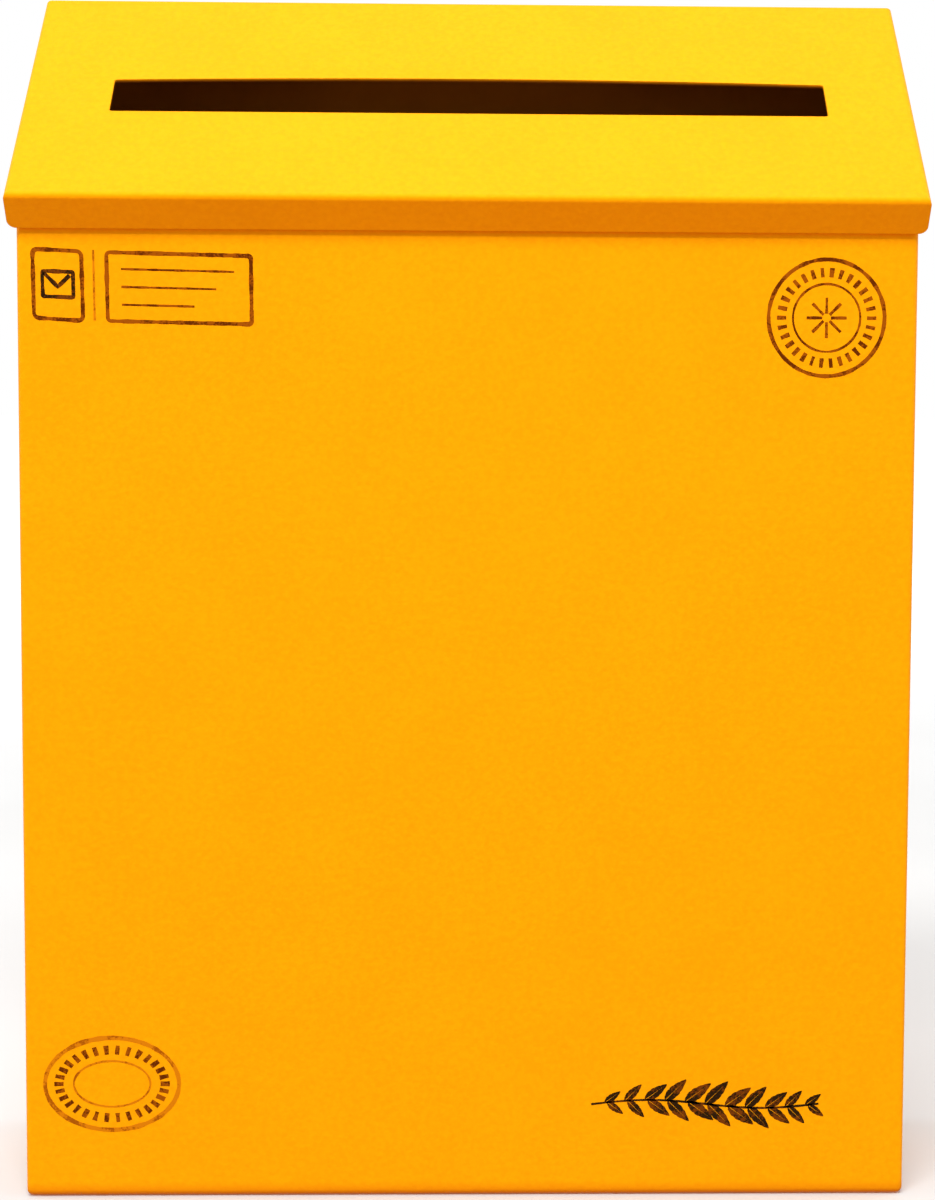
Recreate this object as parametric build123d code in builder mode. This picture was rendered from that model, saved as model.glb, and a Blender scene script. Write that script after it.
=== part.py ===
from build123d import *
import os
from math import cos, radians, sin, tan

# Wall post box in folded sheet steel: a body of wrap, back panel and floor tray,
# under a sloped lid with a letter slot, which opens upwards on two butt hinges.
# Millimetres. +Z is up and -Y is the front. The origin is the centre of the
# footprint of the whole box, on the surface that it stands on.

# ------------------------------------------------------------- driving sizes

# Overall
body_width = 250.0
body_depth = 72.0
overall_height = 344.0
sheet = 1.0
bend_radius = 1.6

# Lid
lid_slope = 39.7
lid_side_gap = 1.0
skirt_depth = 11.4
skirt_corner = 2.5
corner_seam = 0.4
slot_length = 204.5
slot_width = 15.7
slot_corner = 0.8
slot_crown = 1.8
slot_offset = 0.9
lip_clearance = 0.55
body_clearance = 2.0
wall_clearance = 0.8

# Hinges
hinge_spacing = 150.0
hinge_length = 50.0
hinge_leaf_depth = 16.0
leaf_thickness = 1.0
leaf_corner = 2.0
knuckle_radius = 2.3
middle_knuckle = 18.0
knuckle_gap = 0.3
hinge_relief = 0.3
pin_radius = 1.2
pin_clearance = 0.05
pin_head_radius = 1.8
pin_head_height = 0.8
hinge_clearance = 0.4

# Hinge rivets, with a flush head at the back and a domed one inside
hinge_rivet_spacing = 17.0
hinge_rivet_drop = 10.0
hinge_rivet_radius = 1.5
flush_head_radius = 2.3
dome_head_radius = 2.6
dome_head_height = 1.1

# Blind rivets in the body's sides
blind_rivet_radius = 1.6
blind_head_radius = 3.2
blind_head_height = 0.9
blind_tail_radius = 2.1
blind_tail_height = 1.6
mandrel_radius = 0.9
mandrel_depth = 0.5
side_rivet_count = 3
side_rivet_end = 45.0
floor_rivet_spacing = 34.0

# Body flanges
base_hem = 12.0
rim_width = 8.0
rim_corner = 2.0
front_rim_end = 12.0
side_rim_front = 10.0
side_rim_rear = 14.0
back_flange = 13.0
back_flange_drop = 20.0
plate_corner = 3.0
tray_height = 13.0
flange_gap = 2.0

# Holes
wall_hole_radius = 3.0
wall_hole_spacing_x = 190.0
wall_hole_spacing_z = 230.0
lower_wall_hole_z = 52.0
drain_radius = 2.5
drain_spacing_x = 180.0
drain_spacing_y = 30.0

# Rubber bumpers that the lid rests on
bumper_radius = 3.2
bumper_gap = 0.15
bumper_from_rim_end = 8.0
bumper_edge = 0.5

# ------------------------------------------------------------- derived places

slope = radians(lid_slope)
side_x = body_width / 2
inside_x = side_x - sheet

# The lip leans back from the lid's front bend, and its lower edge stands just
# clear of the body's front face. `lid_reach` is how far the sharp corner of the
# bend stands ahead of that face, and `bend_setback` how far the bend rounds it off.
lid_reach = lip_clearance + sheet * cos(slope) + skirt_depth * sin(slope)
bend_setback = bend_radius * (cos(slope) + sin(slope) - 1)
overall_depth = body_depth + lid_reach - bend_setback
back_y = overall_depth / 2
front_y = back_y - body_depth

# The hinge axis lies as far under the lid's top face as it lies ahead of the
# back face, so the open lid stays clear of the wall.
axis_inset = sheet + hinge_relief + knuckle_radius
axis_y = back_y - axis_inset
axis_z = overall_height - axis_inset * cos(slope)

lid_width = body_width + 2 * (lid_side_gap + sheet)
lid_rear_y = axis_y - axis_inset * sin(slope)
lid_length = (lid_rear_y - front_y + lid_reach) / cos(slope)

# The lid's top face: local x runs to the right and local y up the slope, from
# the middle of the lid's rear edge.
downhill = (0, -cos(slope), -sin(slope))
outward = (0, -sin(slope), cos(slope))
lid_plane = Plane(origin=(0, lid_rear_y, overall_height), x_dir=(1, 0, 0), z_dir=outward)

# The body's top edges lie in a plane below the lid and parallel to it.
rim_plane = lid_plane.offset(-sheet - body_clearance)
rim_front_z = rim_plane.origin.Z - (rim_plane.origin.Y - front_y) * tan(slope)
body_top_z = axis_z - hinge_clearance
body_top_y = rim_plane.origin.Y + (body_top_z - rim_plane.origin.Z) / tan(slope)
side_rim_length = (body_top_y - front_y) / cos(slope) - side_rim_front - side_rim_rear
rim_rear_end = (body_top_y - rim_plane.origin.Y) / cos(slope) - side_rim_rear
rim_middle = rim_rear_end - side_rim_length / 2
rim_front_end = rim_rear_end - side_rim_length

# The back panel's flanges start above the floor tray and stop below the rims.
tray_top_z = sheet + tray_height
back_flange_foot = tray_top_z + flange_gap
back_flange_top = axis_z - back_flange_drop

# Rivet places in a side, each as y and z
side_rivet_y = back_y - back_flange / 2
side_rivet_foot = back_flange_foot + side_rivet_end
side_rivet_step = (back_flange_top - side_rivet_end - side_rivet_foot) / (side_rivet_count - 1)
side_spots = [(side_rivet_y, side_rivet_foot + n * side_rivet_step) for n in range(side_rivet_count)]
floor_rivet_y = (front_y + back_y) / 2
floor_rivet_z = sheet + tray_height / 2
floor_spots = [(floor_rivet_y + way * floor_rivet_spacing / 2, floor_rivet_z) for way in (-1, 1)]
hinge_rivet_z = axis_z - hinge_rivet_drop

sides = (("left", -1), ("right", 1))
pieces = []


def finish(part, label):
    """Names a piece and puts it on the list of pieces to write."""
    part.label = label
    pieces.append(part)


def side_seat(way, spot):
    """A plane on the outside of the left (-1) or right (1) side, facing outwards."""
    y, z = spot
    return Plane(origin=(way * side_x, y, z), x_dir=(0, 1, 0), z_dir=(way, 0, 0))


def back_seat(x, z):
    """A plane on the back face, facing the wall."""
    return Plane(origin=(x, back_y, z), x_dir=(1, 0, 0), z_dir=(0, 1, 0))


def hinge_rivet_seats(centre_x):
    """The back ends of one hinge's rivets."""
    return [back_seat(centre_x + n * hinge_rivet_spacing, hinge_rivet_z) for n in (-1, 0, 1)]


# ------------------------------------------------------------- body wrap

# Front, sides and base hem are one sheet, open at the top and the back.
with BuildPart() as body_wrap:
    with BuildSketch(Plane.YZ):
        with BuildLine():
            Polyline(
                (front_y, 0),
                (back_y, 0),
                (back_y, body_top_z),
                (body_top_y, body_top_z),
                (front_y, rim_front_z),
                close=True,
            )
        make_face()
    extrude(amount=side_x, both=True)
    front_edges = body_wrap.faces().sort_by(Axis.Y)[0].edges().filter_by(Axis.Z)
    base_edges = body_wrap.faces().sort_by(Axis.Z)[0].edges().sort_by(Axis.Y)[:-1]
    fillet(front_edges + base_edges, radius=bend_radius)
    top_faces = body_wrap.faces().filter_by(lambda face: face.normal_at().Z > sin(radians(5)))
    back_face = body_wrap.faces().sort_by(Axis.Y)[-1:]
    offset(amount=-sheet, openings=top_faces + back_face)

    # The base is cut away, down to a hem along the front and the sides.
    window_length = body_depth - base_hem
    with BuildSketch(Plane.XY):
        with Locations((0, back_y - window_length / 2)):
            Rectangle(body_width - 2 * base_hem, window_length)
    extrude(amount=sheet, mode=Mode.SUBTRACT)
    hem_corners = body_wrap.edges().filter_by(Axis.Z).filter_by(
        lambda edge: abs(edge.center().Y - front_y - base_hem) < sheet / 2
    )
    fillet(hem_corners, radius=rim_corner)

    # Rims are turned inwards along the top of the sides and of the front.
    with BuildSketch(rim_plane):
        for way in (-1, 1):
            with Locations((way * (side_x - rim_width / 2), rim_middle)):
                Rectangle(rim_width, side_rim_length)
    extrude(amount=-sheet)
    with BuildSketch(Plane.XY.offset(rim_front_z)):
        with Locations((0, front_y + rim_width / 2)):
            Rectangle(body_width - 2 * front_rim_end, rim_width)
    extrude(amount=-sheet)
    rim_ends = body_wrap.edges().filter_by(Axis((0, 0, 0), outward)).filter_by(
        lambda edge: abs(abs(edge.center().X) - side_x + rim_width) < sheet / 2
    )
    front_rim_ends = body_wrap.edges().filter_by(Axis.Z).filter_by(
        lambda edge: abs(edge.center().Y - front_y - rim_width) < sheet / 2
        and edge.center().Z > rim_front_z - sheet
    )
    fillet(rim_ends + front_rim_ends, radius=rim_corner)

    # Rivet holes
    for side, way in sides:
        with Locations(*[side_seat(way, spot) for spot in side_spots + floor_spots]):
            Hole(blind_rivet_radius, depth=sheet)
finish(body_wrap.part, "body_wrap")

# ------------------------------------------------------------- back panel

# A plate with flanges turned forward inside the body's sides. Its sheet is
# notched at both ends of each bend.
with BuildPart() as back_panel:
    with BuildSketch(Plane.XY.offset(back_flange_foot)):
        with Locations((0, back_y - back_flange / 2)):
            Rectangle(2 * inside_x, back_flange)
    extrude(amount=back_flange_top - back_flange_foot)
    fillet(back_panel.faces().sort_by(Axis.Y)[-1].edges().filter_by(Axis.Z), radius=bend_radius)
    open_faces = back_panel.faces().sort_by(Axis.Y)[:1] + back_panel.faces().filter_by(Axis.Z)
    offset(amount=-sheet, openings=open_faces)
    with BuildSketch(Plane.XZ.offset(-back_y)):
        with Locations((0, (sheet + body_top_z) / 2)):
            RectangleRounded(2 * (inside_x - bend_radius), body_top_z - sheet, plate_corner)
    extrude(amount=sheet)

    # Four holes for wall screws, and the rivet holes
    wall_hole_z = [lower_wall_hole_z + n * wall_hole_spacing_z for n in (0, 1)]
    for side, way in sides:
        with Locations(*[back_seat(way * wall_hole_spacing_x / 2, z) for z in wall_hole_z]):
            Hole(wall_hole_radius, depth=sheet)
        with Locations(*[side_seat(way, spot) for spot in side_spots]):
            Hole(blind_rivet_radius, depth=2 * sheet)
        with Locations(*hinge_rivet_seats(way * hinge_spacing / 2)):
            CounterSinkHole(hinge_rivet_radius, flush_head_radius, depth=sheet, counter_sink_angle=90)
finish(back_panel.part, "back_panel")

# ------------------------------------------------------------- floor tray

with BuildPart() as floor_tray:
    tray_depth = body_depth - 2 * sheet
    with BuildSketch(Plane.XY.offset(sheet)):
        with Locations((0, front_y + sheet + tray_depth / 2)):
            Rectangle(2 * inside_x, tray_depth)
    extrude(amount=tray_height)
    tray_edges = floor_tray.edges().filter_by(Axis.Z) + floor_tray.edges().group_by(Axis.Z)[0]
    fillet(tray_edges, radius=bend_radius)
    offset(amount=-sheet, openings=floor_tray.faces().sort_by(Axis.Z)[-1])
    with Locations((0, (front_y + back_y) / 2, 2 * sheet)):
        with GridLocations(drain_spacing_x, drain_spacing_y, 2, 2):
            Hole(drain_radius, depth=sheet)
    for side, way in sides:
        with Locations(*[side_seat(way, spot) for spot in floor_spots]):
            Hole(blind_rivet_radius, depth=2 * sheet)
finish(floor_tray.part, "floor_tray")

# ------------------------------------------------------------- lid

# One sheet with its front lip and side skirts turned down. The lip runs the full
# width, and a narrow seam parts it from each skirt.
outward_axis = Axis((0, 0, 0), outward)
uphill_axis = Axis((0, 0, 0), (0, cos(slope), sin(slope)))
with BuildPart() as lid:
    with BuildSketch(lid_plane):
        with Locations((0, -lid_length / 2)):
            Rectangle(lid_width, lid_length)
    extrude(amount=-skirt_depth)
    top_edges = lid.faces().sort_by(outward_axis)[-1].edges().sort_by(uphill_axis)[:-1]
    fillet(top_edges, radius=bend_radius)
    open_faces = lid.faces().sort_by(outward_axis)[:1] + lid.faces().sort_by(uphill_axis)[-1:]
    offset(amount=-sheet, openings=open_faces)
    with BuildSketch(lid_plane.offset(-skirt_depth)):
        for way in (-1, 1):
            with Locations((way * lid_width / 2, sheet + corner_seam / 2 - lid_length)):
                Rectangle(4 * sheet, corner_seam)
    extrude(amount=skirt_depth - 2 * bend_radius, mode=Mode.SUBTRACT)

    # The skirts stop short of the wall.
    with BuildSketch(Plane.XZ.offset(wall_clearance - back_y)):
        with Locations((0, axis_z)):
            Rectangle(lid_width + 2 * sheet, 4 * skirt_depth)
    extrude(amount=-skirt_depth, mode=Mode.SUBTRACT)

    # Lower corners of the lip and of the skirts
    skirt_edges = lid.edges().filter_by(Axis.X).filter_by(
        lambda edge: abs(abs(edge.center().X) - (lid_width - sheet) / 2) < sheet / 10
    )
    lip_edges = lid.edges().filter_by(uphill_axis).filter_by(
        lambda edge: abs(edge.length - sheet) < sheet / 10
    )
    low_skirt_edges = skirt_edges.group_by(outward_axis)[0]
    low_lip_edges = lip_edges.group_by(outward_axis)[0]
    fillet(low_skirt_edges + low_lip_edges, radius=skirt_corner)

    # Letter slot just below the middle of the slope, with a slightly arched rear edge
    slot_front = -(lid_length + slot_width) / 2 - slot_offset
    slot_rear = slot_front + slot_width
    slot_end = slot_length / 2
    with BuildSketch(lid_plane):
        with BuildLine():
            Polyline(
                (-slot_end, slot_rear),
                (-slot_end, slot_front),
                (slot_end, slot_front),
                (slot_end, slot_rear),
            )
            ThreePointArc((slot_end, slot_rear), (0, slot_rear + slot_crown), (-slot_end, slot_rear))
        slot_face = make_face()
        fillet(slot_face.vertices(), radius=slot_corner)
    extrude(amount=-sheet, mode=Mode.SUBTRACT)
finish(lid.part, "lid")

# ------------------------------------------------------------- hinges


def hinge_leaf(centre_x, along, way, knuckles, rivet_seats=()):
    """One leaf of a butt hinge, rolled round the hinge axis.

    `along` points from the axis down the leaf. `way` is the sense of X that puts
    the leaf's mounting face on the far side of the axis from the opening between
    the leaves. `knuckles` are the spans along X that this leaf's knuckles take.
    """
    mounting_face = knuckle_radius + hinge_relief
    leaf_middle = mounting_face - leaf_thickness / 2
    plate_start = knuckle_radius + 2 * hinge_relief
    with BuildPart() as leaf:
        for start, end in knuckles:
            origin = (centre_x + start, axis_y, axis_z)
            with BuildSketch(Plane(origin=origin, x_dir=along, z_dir=(way, 0, 0))):
                Circle(knuckle_radius)
                with Locations((plate_start / 2, leaf_middle)):
                    Rectangle(plate_start, leaf_thickness)
                Circle(pin_radius + pin_clearance, mode=Mode.SUBTRACT)
            extrude(amount=way * (end - start))
        origin = (centre_x - hinge_length / 2, axis_y, axis_z)
        with BuildSketch(Plane(origin=origin, x_dir=along, z_dir=(way, 0, 0))):
            with Locations(((plate_start + hinge_leaf_depth) / 2, leaf_middle)):
                Rectangle(hinge_leaf_depth - plate_start, leaf_thickness)
        extrude(amount=way * hinge_length)
        free_end = leaf.faces().sort_by(Axis((0, 0, 0), along))[-1]
        fillet(free_end.edges().filter_by(Axis.X, reverse=True), radius=leaf_corner)
        if rivet_seats:
            with Locations(*rivet_seats):
                Hole(hinge_rivet_radius, depth=sheet + leaf_thickness)
    return leaf.part


middle_end = middle_knuckle / 2
outer_start = middle_end + knuckle_gap
outer_end = hinge_length / 2
for side, way in sides:
    hinge_x = way * hinge_spacing / 2
    finish(
        hinge_leaf(
            hinge_x,
            along=(0, 0, -1),
            way=1,
            knuckles=[(-outer_end, -outer_start), (outer_start, outer_end)],
            rivet_seats=hinge_rivet_seats(hinge_x),
        ),
        f"hinge_{side}_body_leaf",
    )
    finish(
        hinge_leaf(hinge_x, along=downhill, way=-1, knuckles=[(-middle_end, middle_end)]),
        f"hinge_{side}_lid_leaf",
    )

    # A pin with a head at each end
    pin_end = Plane(origin=(hinge_x - outer_end, axis_y, axis_z), x_dir=(0, 1, 0), z_dir=(1, 0, 0))
    with BuildPart() as hinge_pin:
        with BuildSketch(pin_end):
            Circle(pin_radius)
        extrude(amount=hinge_length)
        with BuildSketch(pin_end, pin_end.offset(hinge_length + pin_head_height)):
            Circle(pin_head_radius)
        extrude(amount=-pin_head_height)
        head_faces = hinge_pin.faces().filter_by(Axis.X).sort_by(Axis.X)
        fillet(head_faces[0].edges() + head_faces[-1].edges(), radius=pin_head_height / 2)
    finish(hinge_pin.part, f"hinge_{side}_pin")

# ------------------------------------------------------------- rivets

# Hinge rivet along Z from its flush head at the origin to its domed head
with BuildPart() as hinge_rivet:
    flush_depth = flush_head_radius - hinge_rivet_radius
    grip = sheet + leaf_thickness
    dome_sphere = (dome_head_radius**2 + dome_head_height**2) / (2 * dome_head_height)
    with BuildSketch(Plane.XZ):
        with BuildLine():
            Polyline(
                (0, -grip - dome_head_height),
                (0, 0),
                (flush_head_radius, 0),
                (hinge_rivet_radius, -flush_depth),
                (hinge_rivet_radius, -grip),
                (dome_head_radius, -grip),
            )
            RadiusArc((dome_head_radius, -grip), (0, -grip - dome_head_height), dome_sphere)
        make_face()
    revolve(axis=Axis.Z)

# Blind rivet along Z, with its domed head outside and its tail inside
with BuildPart() as blind_rivet:
    with BuildSketch(Plane.XZ):
        with BuildLine():
            Polyline(
                (mandrel_radius, blind_head_height),
                (mandrel_radius, blind_head_height - mandrel_depth),
                (0, blind_head_height - mandrel_depth),
                (0, -2 * sheet - blind_tail_height),
                (blind_tail_radius, -2 * sheet - blind_tail_height),
                (blind_tail_radius, -2 * sheet),
                (blind_rivet_radius, -2 * sheet),
                (blind_rivet_radius, 0),
                (blind_head_radius, 0),
            )
            SagittaArc((blind_head_radius, 0), (mandrel_radius, blind_head_height), -blind_head_height / 4)
        make_face()
    revolve(axis=Axis.Z)

for side, way in sides:
    with BuildPart() as hinge_rivets:
        with Locations(*hinge_rivet_seats(way * hinge_spacing / 2)):
            add(hinge_rivet.part)
    finish(hinge_rivets.part, f"hinge_{side}_rivets")
    with BuildPart() as side_rivets:
        with Locations(*[side_seat(way, spot) for spot in side_spots]):
            add(blind_rivet.part)
    finish(side_rivets.part, f"side_rivets_{side}")
    with BuildPart() as floor_rivets:
        with Locations(*[side_seat(way, spot) for spot in floor_spots]):
            add(blind_rivet.part)
    finish(floor_rivets.part, f"floor_rivets_{side}")

# ------------------------------------------------------------- bumpers

# Rubber pads on the side rims, just under the closed lid
for side, way in sides:
    with BuildPart() as bumpers:
        with BuildSketch(rim_plane):
            for end in (rim_front_end + bumper_from_rim_end, rim_rear_end - bumper_from_rim_end):
                with Locations((way * (side_x - rim_width / 2), end)):
                    Circle(bumper_radius)
        extrude(amount=body_clearance - bumper_gap)
        pad_tops = bumpers.faces().group_by(outward_axis)[-1]
        fillet(pad_tops.edges(), radius=bumper_edge)
    finish(bumpers.part, f"lid_bumpers_{side}")

# ------------------------------------------------------------- files

os.makedirs("parts", exist_ok=True)
for piece in pieces:
    export_step(piece, f"parts/{piece.label}.step")
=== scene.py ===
import math

import bmesh
import bpy
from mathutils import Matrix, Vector, noise


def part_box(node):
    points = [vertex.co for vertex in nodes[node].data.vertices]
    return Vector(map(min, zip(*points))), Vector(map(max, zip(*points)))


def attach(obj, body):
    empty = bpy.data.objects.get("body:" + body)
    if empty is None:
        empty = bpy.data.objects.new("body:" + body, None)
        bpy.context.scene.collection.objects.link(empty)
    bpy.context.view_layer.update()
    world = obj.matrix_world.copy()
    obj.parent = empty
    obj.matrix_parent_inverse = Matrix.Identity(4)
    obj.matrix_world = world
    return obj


MM = 0.001

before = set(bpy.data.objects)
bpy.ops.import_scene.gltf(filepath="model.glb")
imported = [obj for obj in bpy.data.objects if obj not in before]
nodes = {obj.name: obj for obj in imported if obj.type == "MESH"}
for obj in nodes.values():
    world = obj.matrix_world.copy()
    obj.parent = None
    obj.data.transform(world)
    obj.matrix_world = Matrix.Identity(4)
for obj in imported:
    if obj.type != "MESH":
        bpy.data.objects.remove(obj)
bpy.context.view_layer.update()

# ------------------------------------------------------------ colours (linear)

COAT_FRESH = (0.955, 0.389, 0.0016, 1.0)
COAT_DEEP = (0.912, 0.350, 0.0014, 1.0)
# Worn sharp edges take this colour, and so does the painted shade towards the foot
COAT_WEAR_AND_SHADE = (0.700, 0.190, 0.0020, 1.0)
# Painted shade on the faces inside the box
COAT_INSIDE_SHADE = (0.330, 0.100, 0.0040, 1.0)
COAT_SHINE = (1.0, 0.76, 0.07, 1.0)
INK_BLACK = (0.018, 0.007, 0.003, 1.0)
INK_BLACK_WORN = (0.150, 0.035, 0.003, 1.0)
INK_BROWN = (0.110, 0.018, 0.001, 1.0)
INK_BROWN_WORN = (0.320, 0.075, 0.002, 1.0)
INK_FADED = (0.360, 0.090, 0.002, 1.0)
INK_FADED_WORN = (0.640, 0.200, 0.003, 1.0)
ALUMINIUM_LIGHT = (0.660, 0.660, 0.652, 1.0)
ALUMINIUM_DARK = (0.430, 0.430, 0.430, 1.0)
ZINC_LIGHT = (0.640, 0.650, 0.660, 1.0)
ZINC_DARK = (0.400, 0.410, 0.420, 1.0)
RUBBER_LIGHT = (0.030, 0.030, 0.032, 1.0)
RUBBER_DARK = (0.012, 0.012, 0.013, 1.0)
FLOOR_LIGHT = (0.600, 0.600, 0.597, 1.0)
FLOOR_DARK = (0.570, 0.570, 0.567, 1.0)


# ------------------------------------------------------------------- materials


# Coat: noise scales are in cycles per metre, lengths in metres.
BLOTCH_SCALE = 38.0
MOTTLE_SCALE = 600.0
PEEL_SCALE = 620.0
COAT_GRAIN_SCALE = 1900.0
EDGE_RADIUS = 0.35 * MM
EDGE_WEAR = (0.15, 0.6)
# Painted shade: darker towards the foot over this height, and darker on the faces inside the box
FOOT_SHADE_HEIGHT = 4.5 * MM
FOOT_SHADE = 0.85
INSIDE_SHADE_SHARE = (0.92, 1.0)
COAT_ROUGHNESS = (0.42, 0.56)
COAT_IOR = 1.47
COAT_SPECULAR = 0.16
COAT_RELIEF = 0.12 * MM
WELD_RADIUS = 1.7 * MM
WELD_DEPTH = 0.3 * MM

# Ink
PATCH_SCALE = 230.0
FLECK_SCALE = 1500.0
INK_ROUGHNESS = (0.5, 0.7)
INK_SPECULAR = 0.1
INK_RELIEF = 0.02 * MM

# Metal and rubber
ALUMINIUM_SCALE = 700.0
ZINC_SCALE = 900.0
SCUFF_STRETCH = (1.0, 1.0, 6.0)
METAL_RELIEF = 0.03 * MM
RUBBER_GRAIN_SCALE = 2600.0
RUBBER_BLOOM_SCALE = 500.0
RUBBER_RELIEF = 0.05 * MM

# Floor: it glows more from the first radius to the second.
GLOW_REACH = (0.4, 3.0)
GLOW = (0.03, 0.7)

# Most of a noise's values lie between these.
NOISE_SPAN = (0.3, 0.7)


class Shader:
    """One material's node tree, built around a Principled BSDF."""

    def __init__(self, name):
        self.material = bpy.data.materials.new(name)
        self.material.use_nodes = True
        self.tree = self.material.node_tree
        self.tree.nodes.clear()
        self.surface = self.add("ShaderNodeBsdfPrincipled")
        output = self.add("ShaderNodeOutputMaterial")
        self.link(self.surface.outputs["BSDF"], output.inputs["Surface"])
        self.place = self.add("ShaderNodeTexCoord").outputs["Object"]

    def add(self, kind, **settings):
        made = self.tree.nodes.new(kind)
        for name, value in settings.items():
            setattr(made, name, value)
        return made

    def link(self, source, target):
        self.tree.links.new(source, target)

    def put(self, target, value):
        """A link from an output, or a plain number or colour on the socket."""
        if isinstance(value, bpy.types.NodeSocket):
            self.link(value, target)
        else:
            target.default_value = value

    def grain(self, scale, detail=2.0, roughness=0.5, stretch=None):
        made = self.add("ShaderNodeTexNoise")
        made.inputs["Scale"].default_value = scale
        made.inputs["Detail"].default_value = detail
        made.inputs["Roughness"].default_value = roughness
        vector = self.place
        if stretch:
            mapping = self.add("ShaderNodeMapping")
            mapping.inputs["Scale"].default_value = stretch
            self.link(self.place, mapping.inputs["Vector"])
            vector = mapping.outputs["Vector"]
        self.link(vector, made.inputs["Vector"])
        return made.outputs["Fac"]

    def remap(self, value, low, high, to_low=0.0, to_high=1.0):
        made = self.add("ShaderNodeMapRange", interpolation_type="SMOOTHSTEP")
        self.put(made.inputs["Value"], value)
        made.inputs["From Min"].default_value = low
        made.inputs["From Max"].default_value = high
        made.inputs["To Min"].default_value = to_low
        made.inputs["To Max"].default_value = to_high
        return made.outputs["Result"]

    def math(self, operation, first, second=0.0):
        made = self.add("ShaderNodeMath", operation=operation)
        self.put(made.inputs[0], first)
        self.put(made.inputs[1], second)
        return made.outputs["Value"]

    def weigh(self, first, share, second):
        """The two values together, with the first taking this share."""
        one = self.math("MULTIPLY", first, share)
        other = self.math("MULTIPLY", second, 1.0 - share)
        return self.math("ADD", one, other)

    def mix(self, factor, first, second):
        made = self.add("ShaderNodeMix", data_type="RGBA")
        self.put(made.inputs["Factor"], factor)
        self.put(made.inputs[6], first)
        self.put(made.inputs[7], second)
        return made.outputs[2]

    def bump(self, height, distance, strength=1.0, normal=None):
        made = self.add("ShaderNodeBump")
        made.inputs["Strength"].default_value = strength
        made.inputs["Distance"].default_value = distance
        self.link(height, made.inputs["Height"])
        if normal is not None:
            self.link(normal, made.inputs["Normal"])
        return made.outputs["Normal"]

    def roughen(self, value, roughness):
        self.link(self.remap(value, *NOISE_SPAN, *roughness), self.surface.inputs["Roughness"])

    def rounded(self, radius, samples=4):
        made = self.add("ShaderNodeBevel", samples=samples)
        made.inputs["Radius"].default_value = radius
        return made.outputs["Normal"]

    def edges(self, rounded_normal, low, high):
        """1 along a sharp edge, where the rounded normal leaves the true one."""
        true = self.add("ShaderNodeNewGeometry").outputs["True Normal"]
        made = self.add("ShaderNodeVectorMath", operation="DOT_PRODUCT")
        self.link(rounded_normal, made.inputs[0])
        self.link(true, made.inputs[1])
        return self.remap(made.outputs["Value"], high, low)


# Where painted shade darkens the faces inside the box.
def inside_shade_mask(shader, low, high, slope_origin, slope_normal, depth, soft):
    """1 on the faces turned to the inside of the box, by their depth under its outside."""
    split = shader.add("ShaderNodeSeparateXYZ")
    shader.link(shader.place, split.inputs["Vector"])
    across = shader.math("ABSOLUTE", split.outputs["X"])
    from_side = shader.math("SUBTRACT", high.x, across)
    from_front = shader.math("SUBTRACT", split.outputs["Y"], low.y)
    from_back = shader.math("SUBTRACT", high.y, split.outputs["Y"])
    from_base = shader.math("SUBTRACT", split.outputs["Z"], low.z)
    along_y = shader.math("MULTIPLY", split.outputs["Y"], -slope_normal[0])
    along_z = shader.math("MULTIPLY", split.outputs["Z"], -slope_normal[1])
    reach = slope_origin[0] * slope_normal[0] + slope_origin[1] * slope_normal[1]
    from_top = shader.math("ADD", shader.math("ADD", along_y, along_z), reach)
    nearest = from_side
    for distance in (from_front, from_back, from_base, from_top):
        nearest = shader.math("MINIMUM", nearest, distance)
    return shader.remap(nearest, depth - soft, depth + soft)


def spot_marks(shader, points, radius, soft):
    """1 at round marks about the points, which are given for one side of the middle."""
    split = shader.add("ShaderNodeSeparateXYZ")
    shader.link(shader.place, split.inputs["Vector"])
    folded = shader.add("ShaderNodeCombineXYZ")
    shader.link(shader.math("ABSOLUTE", split.outputs["X"]), folded.inputs["X"])
    shader.link(split.outputs["Y"], folded.inputs["Y"])
    shader.link(split.outputs["Z"], folded.inputs["Z"])
    nearest = None
    for point in points:
        apart = shader.add("ShaderNodeVectorMath", operation="DISTANCE")
        shader.link(folded.outputs["Vector"], apart.inputs[0])
        apart.inputs[1].default_value = point
        distance = apart.outputs["Value"]
        nearest = distance if nearest is None else shader.math("MINIMUM", nearest, distance)
    return shader.remap(nearest, radius + soft, radius - soft)


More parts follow.
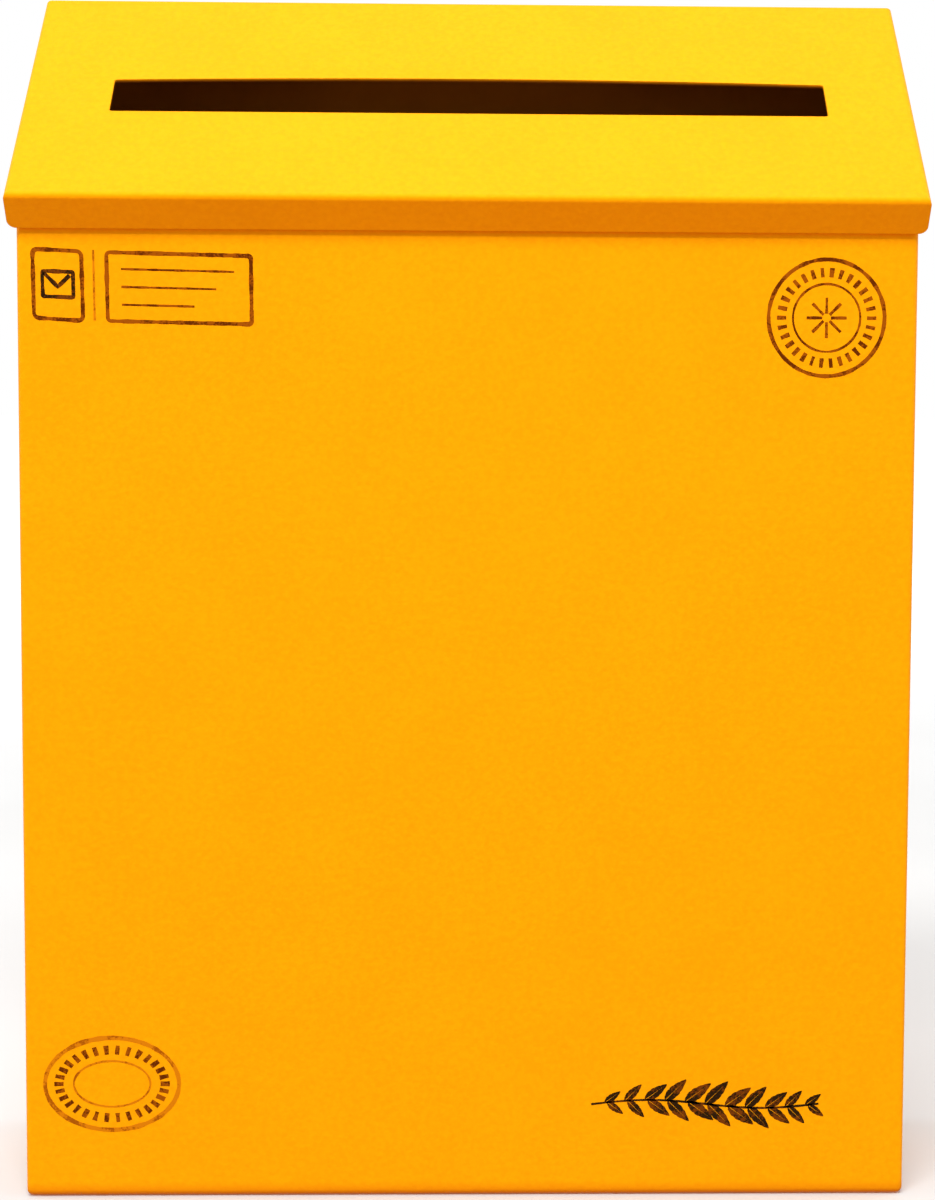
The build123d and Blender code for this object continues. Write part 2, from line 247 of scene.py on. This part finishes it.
def powder_coat(name, inside=None, foot=None, welds=()):
    """Orange-yellow coat, worn at sharp edges, with painted shade that darkens it towards the foot
    and on its inner faces.
    """
    shader = Shader(name)
    blotch = shader.grain(BLOTCH_SCALE, detail=3.0, roughness=0.55)
    mottle = shader.grain(MOTTLE_SCALE, detail=2.0, roughness=0.6)
    peel = shader.grain(PEEL_SCALE, detail=1.0, roughness=0.4)
    grain = shader.grain(COAT_GRAIN_SCALE, detail=2.0, roughness=0.6)

    tone = shader.weigh(blotch, 0.3, mottle)
    colour = shader.mix(shader.remap(tone, 0.32, 0.68), COAT_DEEP, COAT_FRESH)
    round_normal = shader.rounded(EDGE_RADIUS)
    edge = shader.edges(round_normal, 0.55, 0.97)
    worn_edge = shader.math("MULTIPLY", edge, shader.remap(mottle, 0.35, 0.6, *EDGE_WEAR))
    colour = shader.mix(worn_edge, colour, COAT_WEAR_AND_SHADE)
    # Painted shade: darker towards the foot, where the box meets the floor.
    if foot is not None:
        height = shader.add("ShaderNodeSeparateXYZ")
        shader.link(shader.place, height.inputs["Vector"])
        painted_foot_shade = shader.remap(height.outputs["Z"], foot + FOOT_SHADE_HEIGHT, foot, 0.0, FOOT_SHADE)
        colour = shader.mix(painted_foot_shade, colour, COAT_WEAR_AND_SHADE)
    # Painted shade: the inner faces are darkened towards a dark brown.
    if inside:
        mask = inside_shade_mask(shader, *inside)
        share = shader.math("MULTIPLY", mask, shader.remap(blotch, *NOISE_SPAN, *INSIDE_SHADE_SHARE))
        colour = shader.mix(share, colour, COAT_INSIDE_SHADE)
    shader.link(colour, shader.surface.inputs["Base Color"])

    shader.roughen(shader.weigh(peel, 0.5, grain), COAT_ROUGHNESS)
    shader.surface.inputs["IOR"].default_value = COAT_IOR
    shader.surface.inputs["Specular IOR Level"].default_value = COAT_SPECULAR
    shader.surface.inputs["Specular Tint"].default_value = COAT_SHINE

    normal = shader.bump(shader.weigh(peel, 0.7, grain), COAT_RELIEF, normal=round_normal)
    if welds:
        marks = spot_marks(shader, welds, WELD_RADIUS, WELD_RADIUS / 4)
        normal = shader.bump(shader.math("SUBTRACT", 1.0, marks), WELD_DEPTH, normal=normal)
    shader.link(normal, shader.surface.inputs["Normal"])
    return shader.material


def printed_ink(name, dense, worn, density):
    """A worn stamp: the ink is dense in patches and thin between them."""
    shader = Shader(name)
    patch = shader.grain(PATCH_SCALE, detail=4.0, roughness=0.65)
    fleck = shader.grain(FLECK_SCALE, detail=2.0, roughness=0.6)
    cover = shader.weigh(patch, 0.65, fleck)
    colour = shader.mix(shader.remap(cover, 0.62 - density, 0.72 - density), worn, dense)
    shader.link(colour, shader.surface.inputs["Base Color"])
    shader.surface.inputs["Specular IOR Level"].default_value = INK_SPECULAR
    shader.surface.inputs["Specular Tint"].default_value = COAT_SHINE
    shader.roughen(fleck, INK_ROUGHNESS)
    shader.link(shader.bump(fleck, INK_RELIEF), shader.surface.inputs["Normal"])
    return shader.material


def metal(name, light, dark, scale, roughness):
    shader = Shader(name)
    spangle = shader.grain(scale, detail=3.0, roughness=0.6)
    scuff = shader.grain(scale * 2.5, detail=2.0, stretch=SCUFF_STRETCH)
    colour = shader.mix(shader.remap(spangle, 0.35, 0.65), dark, light)
    shader.link(colour, shader.surface.inputs["Base Color"])
    shader.surface.inputs["Metallic"].default_value = 1.0
    shader.roughen(scuff, roughness)
    shader.link(shader.bump(scuff, METAL_RELIEF), shader.surface.inputs["Normal"])
    return shader.material


def rubber(name):
    shader = Shader(name)
    grain = shader.grain(RUBBER_GRAIN_SCALE, detail=2.0, roughness=0.6)
    bloom = shader.grain(RUBBER_BLOOM_SCALE, detail=3.0)
    colour = shader.mix(shader.remap(bloom, 0.4, 0.65), RUBBER_DARK, RUBBER_LIGHT)
    shader.link(colour, shader.surface.inputs["Base Color"])
    shader.roughen(grain, (0.62, 0.82))
    shader.link(shader.bump(grain, RUBBER_RELIEF), shader.surface.inputs["Normal"])
    return shader.material


def studio_floor(name):
    """Pale paper, which glows more far out, so that it runs into the white behind it."""
    shader = Shader(name)
    apart = shader.add("ShaderNodeVectorMath", operation="LENGTH")
    shader.link(shader.place, apart.inputs[0])
    glow = shader.remap(apart.outputs["Value"], *GLOW_REACH, *GLOW)
    shader.surface.inputs["Emission Color"].default_value = (1.0, 1.0, 1.0, 1.0)
    shader.link(glow, shader.surface.inputs["Emission Strength"])
    cloud = shader.grain(3.0, detail=3.0)
    colour = shader.mix(shader.remap(cloud, 0.35, 0.65), FLOOR_DARK, FLOOR_LIGHT)
    shader.link(colour, shader.surface.inputs["Base Color"])
    shader.surface.inputs["Roughness"].default_value = 0.85
    shader.surface.inputs["Specular IOR Level"].default_value = 0.2
    return shader.material


# The outside of the box, for telling its inner faces, which get painted shade, from its outer ones.
SHEET = 1.0 * MM
wrap_low, wrap_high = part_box("body_wrap")
back_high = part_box("back_panel")[1]
lid_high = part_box("lid")[1]
shell_low = Vector((-wrap_high.x, wrap_low.y, wrap_low.z))
shell_high = Vector((wrap_high.x, back_high.y, lid_high.z))
LID_SLOPE = math.radians(39.7)
lid_normal = (-math.sin(LID_SLOPE), math.cos(LID_SLOPE))
lid_rear_y = 34.075 * MM
lid_top = (lid_rear_y, lid_high.z)

shell = (shell_low, shell_high, lid_top, lid_normal, SHEET / 2, SHEET / 6)
# Spot welds that hold the hinges' lid leaves under the lid
WELD_PITCH = 15.0 * MM
WELD_REACH = 10.5 * MM
leaf_low, leaf_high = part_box("hinge_right_lid_leaf")
leaf_x = (leaf_low.x + leaf_high.x) / 2
weld_y = lid_rear_y - WELD_REACH * math.cos(LID_SLOPE) + 2 * SHEET * math.sin(LID_SLOPE)
weld_z = lid_high.z - WELD_REACH * math.sin(LID_SLOPE) - 2 * SHEET * math.cos(LID_SLOPE)
welds = [(leaf_x + way * WELD_PITCH, weld_y, weld_z) for way in (-1, 0, 1)]

# The coat gets painted shade on its inner faces and towards its foot.
coat = powder_coat("coat", shell, wrap_low.z, welds)
aluminium = metal("aluminium", ALUMINIUM_LIGHT, ALUMINIUM_DARK, ALUMINIUM_SCALE, (0.32, 0.5))
zinc = metal("zinc", ZINC_LIGHT, ZINC_DARK, ZINC_SCALE, (0.28, 0.45))
black_rubber = rubber("rubber")
ink_black = printed_ink("ink_black", INK_BLACK, INK_BLACK_WORN, 0.2)
ink_brown = printed_ink("ink_brown", INK_BROWN, INK_BROWN_WORN, 0.16)
ink_faded = printed_ink("ink_faded", INK_FADED, INK_FADED_WORN, 0.13)

FINISH = {
    "yellow_powder_coat": coat,
    "bare_aluminium": aluminium,
    "zinc_steel": zinc,
    "black_rubber": black_rubber,
}

for piece in nodes.values():
    for place in piece.material_slots:
        place.material = FINISH[place.material.name.split(".")[0]]

# ------------------------------------------------------------- printed marks

# Worn, generic marks on the front face, in millimetres: x to the right, z up.
FILM_LIFT = 0.02 * MM
FILM_THICKNESS = 0.03 * MM
POINT_STEP = 0.8
RAY_STEP = 0.5
WIDTH_SPREAD = 0.35
WIDTH_WAVE = 2.3
WIDTH_SEED = 3.7
CORNER_STEPS = 6
LEAF_STEPS = 14
VEIN = 0.1
face_y = wrap_low.y - FILM_LIFT


def film(name, strips, ink):
    """A thin film of ink. Each strip is its two sides, point by point, and if it is closed."""
    shape = bmesh.new()
    for left, right, closed in strips:
        sides = []
        for y in (face_y - FILM_THICKNESS, face_y):
            for points in (left, right):
                sides.append([shape.verts.new((x * MM, y, z * MM)) for x, z in points])
        front_left, front_right, back_left, back_right = sides
        count = len(left)
        for i in range(count if closed else count - 1):
            j = (i + 1) % count
            shape.faces.new((front_left[i], front_left[j], front_right[j], front_right[i]))
            shape.faces.new((back_left[j], back_left[i], back_right[i], back_right[j]))
            shape.faces.new((front_left[j], front_left[i], back_left[i], back_left[j]))
            shape.faces.new((front_right[i], front_right[j], back_right[j], back_right[i]))
        if not closed:
            for i in (0, -1):
                shape.faces.new((front_left[i], front_right[i], back_right[i], back_left[i]))
    bmesh.ops.recalc_face_normals(shape, faces=shape.faces)
    mesh = bpy.data.meshes.new(name)
    shape.to_mesh(mesh)
    shape.free()
    mesh.materials.append(ink)
    piece = bpy.data.objects.new(name, mesh)
    bpy.context.scene.collection.objects.link(piece)
    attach(piece, "body")
    return piece


def line(points, width, closed=False):
    """A hand-printed line along the points, a little uneven in width."""
    left, right = [], []
    count = len(points)
    for i, (x, z) in enumerate(points):
        before = points[i - 1] if i or closed else points[i]
        after = points[(i + 1) % count] if i + 1 < count or closed else points[i]
        run_x, run_z = after[0] - before[0], after[1] - before[1]
        length = math.hypot(run_x, run_z)
        wave = noise.noise(Vector((x / WIDTH_WAVE, z / WIDTH_WAVE, WIDTH_SEED)))
        half = width / 2 * (1.0 + WIDTH_SPREAD * wave)
        across_x, across_z = -run_z / length * half, run_x / length * half
        left.append((x + across_x, z + across_z))
        right.append((x - across_x, z - across_z))
    return (left, right, closed)


def between(start, end, step):
    """Points from start up to, but not at, end."""
    count = max(1, round(math.dist(start, end) / step))
    return [tuple(s + (e - s) * i / count for s, e in zip(start, end)) for i in range(count)]


def straight(start, end, width, step=POINT_STEP):
    return line(between(start, end, step) + [end], width)


def towards(corner, other, distance):
    """The point at this distance from the corner on the way to the other."""
    apart = math.dist(other, corner)
    return tuple(c + distance * (o - c) / apart for o, c in zip(other, corner))


def rounded_frame(corners, radius, step=POINT_STEP):
    """The points of a frame with round corners, which may lean like a hand-placed print."""
    turns = []
    for i, corner in enumerate(corners):
        before, after = corners[i - 1], corners[(i + 1) % len(corners)]
        first = towards(corner, before, radius)
        last = towards(corner, after, radius)
        turn = []
        for k in range(CORNER_STEPS + 1):
            t = k / CORNER_STEPS
            shares = ((1 - t) ** 2, 2 * t * (1 - t), t * t)
            ways = zip(first, corner, last)
            turn.append(tuple(sum(share * v for share, v in zip(shares, way)) for way in ways))
        turns.append(turn)
    points = []
    for i, turn in enumerate(turns):
        points += turn[:-1] + between(turn[-1], turns[(i + 1) % len(turns)][0], step)
    return points


def oval(centre, half_width, half_height, count=120):
    points = []
    for i in range(count):
        turn = 2 * math.pi * i / count
        x = centre[0] + half_width * math.cos(turn)
        z = centre[1] + half_height * math.sin(turn)
        points.append((x, z))
    return points


def rays(centre, inner, outer, spacing, width):
    """Short marks that point away from the centre. inner and outer are half sizes in x and z."""
    marks = []
    for degrees in range(0, 360, spacing):
        c, s = math.cos(math.radians(degrees)), math.sin(math.radians(degrees))
        start = (centre[0] + inner[0] * c, centre[1] + inner[1] * s)
        end = (centre[0] + outer[0] * c, centre[1] + outer[1] * s)
        marks.append(straight(start, end, width, step=RAY_STEP))
    return marks


def leaf(base, degrees, length, width):
    """Two halves of a pointed leaf, with a thin bare vein between them."""
    c, s = math.cos(math.radians(degrees)), math.sin(math.radians(degrees))
    halves = []
    for side in (1, -1):
        edge, vein = [], []
        for k in range(LEAF_STEPS + 1):
            t = k / LEAF_STEPS
            u = t * length
            tooth = 1.0 - 0.1 * (k % 3 == 2)
            swell = width / 2 * math.sin(math.pi * t ** 0.75) ** 0.85 * tooth
            for points, v in ((edge, side * (VEIN + swell)), (vein, side * VEIN * (1.0 - t))):
                points.append((base[0] + u * c - v * s, base[1] + u * s + v * c))
        halves.append((edge, vein, False))
    return halves


# The small upper frame holds a plain envelope.
small_frame = ((-120.5, 267.6), (-107.1, 267.0), (-106.7, 247.9), (-120.2, 248.7))
small_lines = [line(rounded_frame(small_frame, 1.6), 1.15, closed=True)]
film("print_small_frame", small_lines, ink_brown)
envelope = ((-117.9, 261.6), (-109.4, 261.3), (-109.3, 254.3), (-117.7, 254.6))
flap_tip = (-113.6, 257.2)
flap = between((-117.5, 261.1), flap_tip, POINT_STEP) + between(flap_tip, (-109.8, 260.9), POINT_STEP)
envelope_lines = [line(rounded_frame(envelope, 0.5), 1.1, closed=True), line(flap, 1.2)]
film("print_envelope", envelope_lines, ink_black)
film("print_rule", [straight((-103.8, 267.4), (-103.5, 248.0), 0.6)], ink_faded)

# The long frame holds ruled lines.
long_frame = ((-100.2, 266.8), (-60.4, 266.0), (-60.2, 247.2), (-99.9, 247.9))
long_lines = [line(rounded_frame(long_frame, 1.1), 1.1, closed=True)]
film("print_long_frame", long_lines, ink_brown)
rules = [
    straight((-96.2, 262.2), (-65.0, 261.6), 0.6),
    straight((-96.1, 257.3), (-70.0, 256.8), 0.6),
    straight((-96.0, 252.4), (-76.0, 252.0), 0.6),
]
film("print_ruled_lines", rules, ink_brown)

# A double ring with a dial of marks between its lines, and a plain star.
ring = (99.5, 249.9)
ring_lines = [
    line(oval(ring, 16.2, 16.2), 1.05, closed=True),
    line(oval(ring, 9.4, 9.4), 0.6, closed=True),
]
film("print_ring", ring_lines, ink_brown)
film("print_ring_marks", rays(ring, (11.3, 11.3), (13.9, 13.9), 12, 1.1), ink_brown)
film("print_ring_star", rays(ring, (1.2, 1.2), (5.6, 5.6), 45, 0.8), ink_brown)

# An oval with marks along its edge.
seal = (-100.5, 32.5)
film("print_oval", [line(oval(seal, 18.9, 13.3), 1.25, closed=True)], ink_faded)
film("print_oval_marks", rays(seal, (13.7, 8.5), (16.3, 11.1), 12, 1.25), ink_brown)
film("print_oval_inner", [line(oval(seal, 10.8, 6.6), 0.55, closed=True)], ink_faded)

# A low garland of leaves, towards the lower right corner.
STEM_POINTS = 34
STEM_START = 35.5
STEM_LENGTH = 65.0
STEM_HEIGHT = 26.3
STEM_SWAY = 1.2
LEAF_LEAN = 36.0
LEAF_WIDTH = 0.36
stem = []
for k in range(STEM_POINTS + 1):
    t = k / STEM_POINTS
    stem.append((STEM_START + STEM_LENGTH * t, STEM_HEIGHT + STEM_SWAY * math.sin(2 * math.pi * t)))
garland = [line(stem, 0.6)]
for k in range(2, STEM_POINTS, 3):
    x, z = stem[k]
    size = 4.6 + 4.6 * math.sin(math.pi * k / STEM_POINTS)
    lean = LEAF_LEAN + 9.0 * (k % 2)
    garland += leaf((x, z), lean, size, size * LEAF_WIDTH)
    garland += leaf((x + 0.8, z), -lean, size, size * LEAF_WIDTH)
film("print_garland", garland, ink_black)

# ---------------------------------------------------------- studio and camera

CAMERA_PLACE = (1.82 * MM, -731.18 * MM, 241.27 * MM)
CAMERA_TURN = (85.359, -0.318, -1.477)
LENS = 75.22
SENSOR = 36.0
SHIFT = (-0.0609, -0.0409)

camera_data = bpy.data.cameras.new("photo_camera")
camera_data.lens = LENS
camera_data.sensor_width = SENSOR
camera_data.shift_x, camera_data.shift_y = SHIFT
camera_data.clip_start = 0.01
camera_data.clip_end = 50.0
camera = bpy.data.objects.new("photo_camera", camera_data)
camera.location = CAMERA_PLACE
camera.rotation_euler = [math.radians(angle) for angle in CAMERA_TURN]
bpy.context.scene.collection.objects.link(camera)
bpy.context.scene.camera = camera
bpy.context.scene.view_settings.view_transform = "Standard"


def area_light(name, place, aim, size, power, tint=(1.0, 1.0, 1.0)):
    data = bpy.data.lights.new(name, "AREA")
    data.shape = "RECTANGLE"
    data.size, data.size_y = size
    data.energy = power
    data.color = tint
    lamp = bpy.data.objects.new(name, data)
    lamp.location = place
    lamp.rotation_euler = (Vector(aim) - Vector(place)).to_track_quat("-Z", "Y").to_euler()
    bpy.context.scene.collection.objects.link(lamp)
    return lamp


AIM = (0.0, 0.0, 0.2)
area_light("key", (-0.30, -1.38, 1.94), AIM, (1.6, 0.5), 53.0)
area_light("top", (0.0, -0.06, 2.0), AIM, (1.6, 0.5), 9.0)
area_light("side_left", (-1.8, 0.5, 0.9), AIM, (1.2, 1.2), 9.0)
area_light("side_right", (1.8, 0.5, 0.9), AIM, (1.2, 1.2), 9.0)
area_light("back", (0.0, 2.0, 0.9), AIM, (1.6, 1.2), 12.0)

SKY = (1.0, 1.0, 1.0, 1.0)
GROUND = (1.32, 0.84, 0.62, 1.0)
AMBIENT_STRENGTH = 0.6
HORIZON_BLEND = 0.2


def studio_world(name):
    """White from above and warm from below. The camera sees plain white paper."""
    world = bpy.data.worlds.new(name)
    world.use_nodes = True
    tree = world.node_tree
    tree.nodes.clear()
    direction = tree.nodes.new("ShaderNodeTexCoord")
    split = tree.nodes.new("ShaderNodeSeparateXYZ")
    tree.links.new(direction.outputs["Generated"], split.inputs["Vector"])
    up = tree.nodes.new("ShaderNodeMapRange")
    up.interpolation_type = "SMOOTHSTEP"
    up.inputs["From Min"].default_value = -HORIZON_BLEND
    up.inputs["From Max"].default_value = HORIZON_BLEND
    tree.links.new(split.outputs["Z"], up.inputs["Value"])
    blend = tree.nodes.new("ShaderNodeMix")
    blend.data_type = "RGBA"
    blend.inputs[6].default_value = GROUND
    blend.inputs[7].default_value = SKY
    tree.links.new(up.outputs["Result"], blend.inputs["Factor"])
    ambient = tree.nodes.new("ShaderNodeBackground")
    ambient.inputs["Strength"].default_value = AMBIENT_STRENGTH
    tree.links.new(blend.outputs[2], ambient.inputs["Color"])
    paper = tree.nodes.new("ShaderNodeBackground")
    paper.inputs["Color"].default_value = SKY
    paper.inputs["Strength"].default_value = 1.0
    ray = tree.nodes.new("ShaderNodeLightPath")
    choose = tree.nodes.new("ShaderNodeMixShader")
    tree.links.new(ray.outputs["Is Camera Ray"], choose.inputs["Fac"])
    tree.links.new(ambient.outputs["Background"], choose.inputs[1])
    tree.links.new(paper.outputs["Background"], choose.inputs[2])
    out = tree.nodes.new("ShaderNodeOutputWorld")
    tree.links.new(choose.outputs["Shader"], out.inputs["Surface"])
    return world


bpy.context.scene.world = studio_world("studio")

FLOOR_RADIUS = 8.0
FLOOR_DROP = 0.3 * MM
floor_mesh = bpy.data.meshes.new("floor")
shape = bmesh.new()
bmesh.ops.create_circle(shape, cap_ends=True, cap_tris=True, segments=96, radius=FLOOR_RADIUS)
shape.to_mesh(floor_mesh)
shape.free()
floor = bpy.data.objects.new("floor", floor_mesh)
floor.location = (0.0, 0.0, -FLOOR_DROP)
floor_mesh.materials.append(studio_floor("pale_floor"))
floor.visible_diffuse = False
bpy.context.scene.collection.objects.link(floor)
